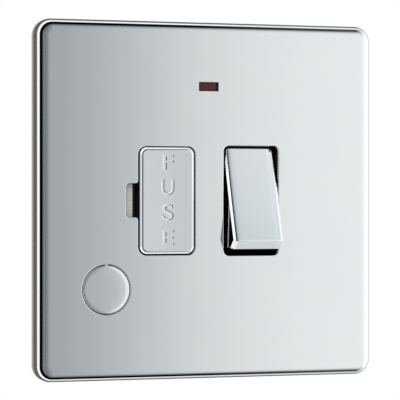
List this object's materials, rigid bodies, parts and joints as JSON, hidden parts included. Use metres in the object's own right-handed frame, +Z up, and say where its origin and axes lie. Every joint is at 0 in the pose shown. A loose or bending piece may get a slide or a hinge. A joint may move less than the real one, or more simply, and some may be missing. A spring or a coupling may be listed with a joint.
{
  "type": "fused spur unit",
  "caption": "Flush wall plate with a rocker switch, a pull-out fuse carrier, a pilot light and a flex knock-out, feeding one fixed appliance through a cartridge fuse.",
  "frame": {"origin": "on the wall's face, midway between the two wall screws, which is the plate's centre", "axes": "front faces -Y and the wall box is towards +Y; +X is to the right and +Z is up, seen from the front"},
  "size_m": [0.086, 0.0262, 0.086],
  "materials": {
    "chrome_plate": "polished chrome plate",
    "frame_plastic": "pale grey moulding",
    "case_plastic": "black moulding",
    "carrier_plastic": "black moulding",
    "mechanism_plastic": "white moulding",
    "screw_steel": "zinc-plated steel",
    "spring_steel": "sprung steel",
    "contact_brass": "rolled brass",
    "terminal_screw_brass": "turned brass",
    "contact_silver": "silver alloy",
    "fuse_ceramic": "plain ceramic",
    "fuse_cap_plate": "nickel plate",
    "lens_red": "dark red translucent",
    "lamp_glass": "clear glass",
    "resistor_body": "lacquered body"
  },
  "bodies": {
    "base": {"support_frame": "frame_plastic", "front_housing": "case_plastic", "rear_cover": "case_plastic", "cord_grip_bar": "mechanism_plastic", "cord_grip_screw": "screw_steel", "upper_fuse_clip": "spring_steel", "lower_fuse_clip": "spring_steel", "live_fixed_contact": "contact_brass", "neutral_fixed_contact": "contact_brass", "live_pivot_post": "contact_brass", "neutral_pivot_post": "contact_brass", "neutral_supply_terminal": "contact_brass", "supply_earth_terminal": "contact_brass", "live_supply_terminal": "contact_brass", "live_load_terminal": "contact_brass", "load_earth_terminal": "contact_brass", "neutral_load_terminal": "contact_brass", "earth_strap": "contact_brass", "terminal_screws": "terminal_screw_brass", "fixed_tips": "contact_silver", "neon_lens": "lens_red", "neon_lamp": "lamp_glass", "neon_resistor": "resistor_body"},
    "plate": {"front_plate": "chrome_plate"},
    "rocker": {"rocker_cap": "chrome_plate", "rocker_core": "mechanism_plastic", "plungers": "mechanism_plastic", "plunger_springs": "spring_steel"},
    "live_pole": {"live_blade": "contact_brass", "live_moving_tip": "contact_silver"},
    "neutral_pole": {"neutral_blade": "contact_brass", "neutral_moving_tip": "contact_silver"},
    "carrier": {"fuse_carrier_cap": "chrome_plate", "fuse_carrier": "carrier_plastic", "fuse_barrel": "fuse_ceramic", "fuse_end_caps": "fuse_cap_plate"}
  },
  "joints": [
    {"name": "rocker_hinge", "type": "hinge", "parent": "base", "child": "rocker", "pos_m": [0.011, -0.0014, 0], "axis": [1, 0, 0], "range_deg": [0, 29.5]},
    {"name": "live_blade_hinge", "type": "hinge", "parent": "base", "child": "live_pole", "pos_m": [0.0142, 0.0074, 0], "axis": [1, 0, 0], "range_deg": [-14, 0]},
    {"name": "neutral_blade_hinge", "type": "hinge", "parent": "base", "child": "neutral_pole", "pos_m": [0.0078, 0.0074, 0], "axis": [1, 0, 0], "range_deg": [-14, 0]},
    {"name": "fuse_carrier_slide", "type": "slide", "parent": "base", "child": "carrier", "axis": [0, -1, 0], "range_m": [0, 0.015]},
    {"name": "front_plate_slide", "type": "slide", "parent": "base", "child": "plate", "axis": [0, -1, 0], "range_m": [0, 0.015]}
  ],
  "couplings": [
    {"joint": "live_blade_hinge", "follows": "rocker_hinge", "ratio": -0.47458},
    {"joint": "neutral_blade_hinge", "follows": "rocker_hinge", "ratio": -0.47458}
  ]
}
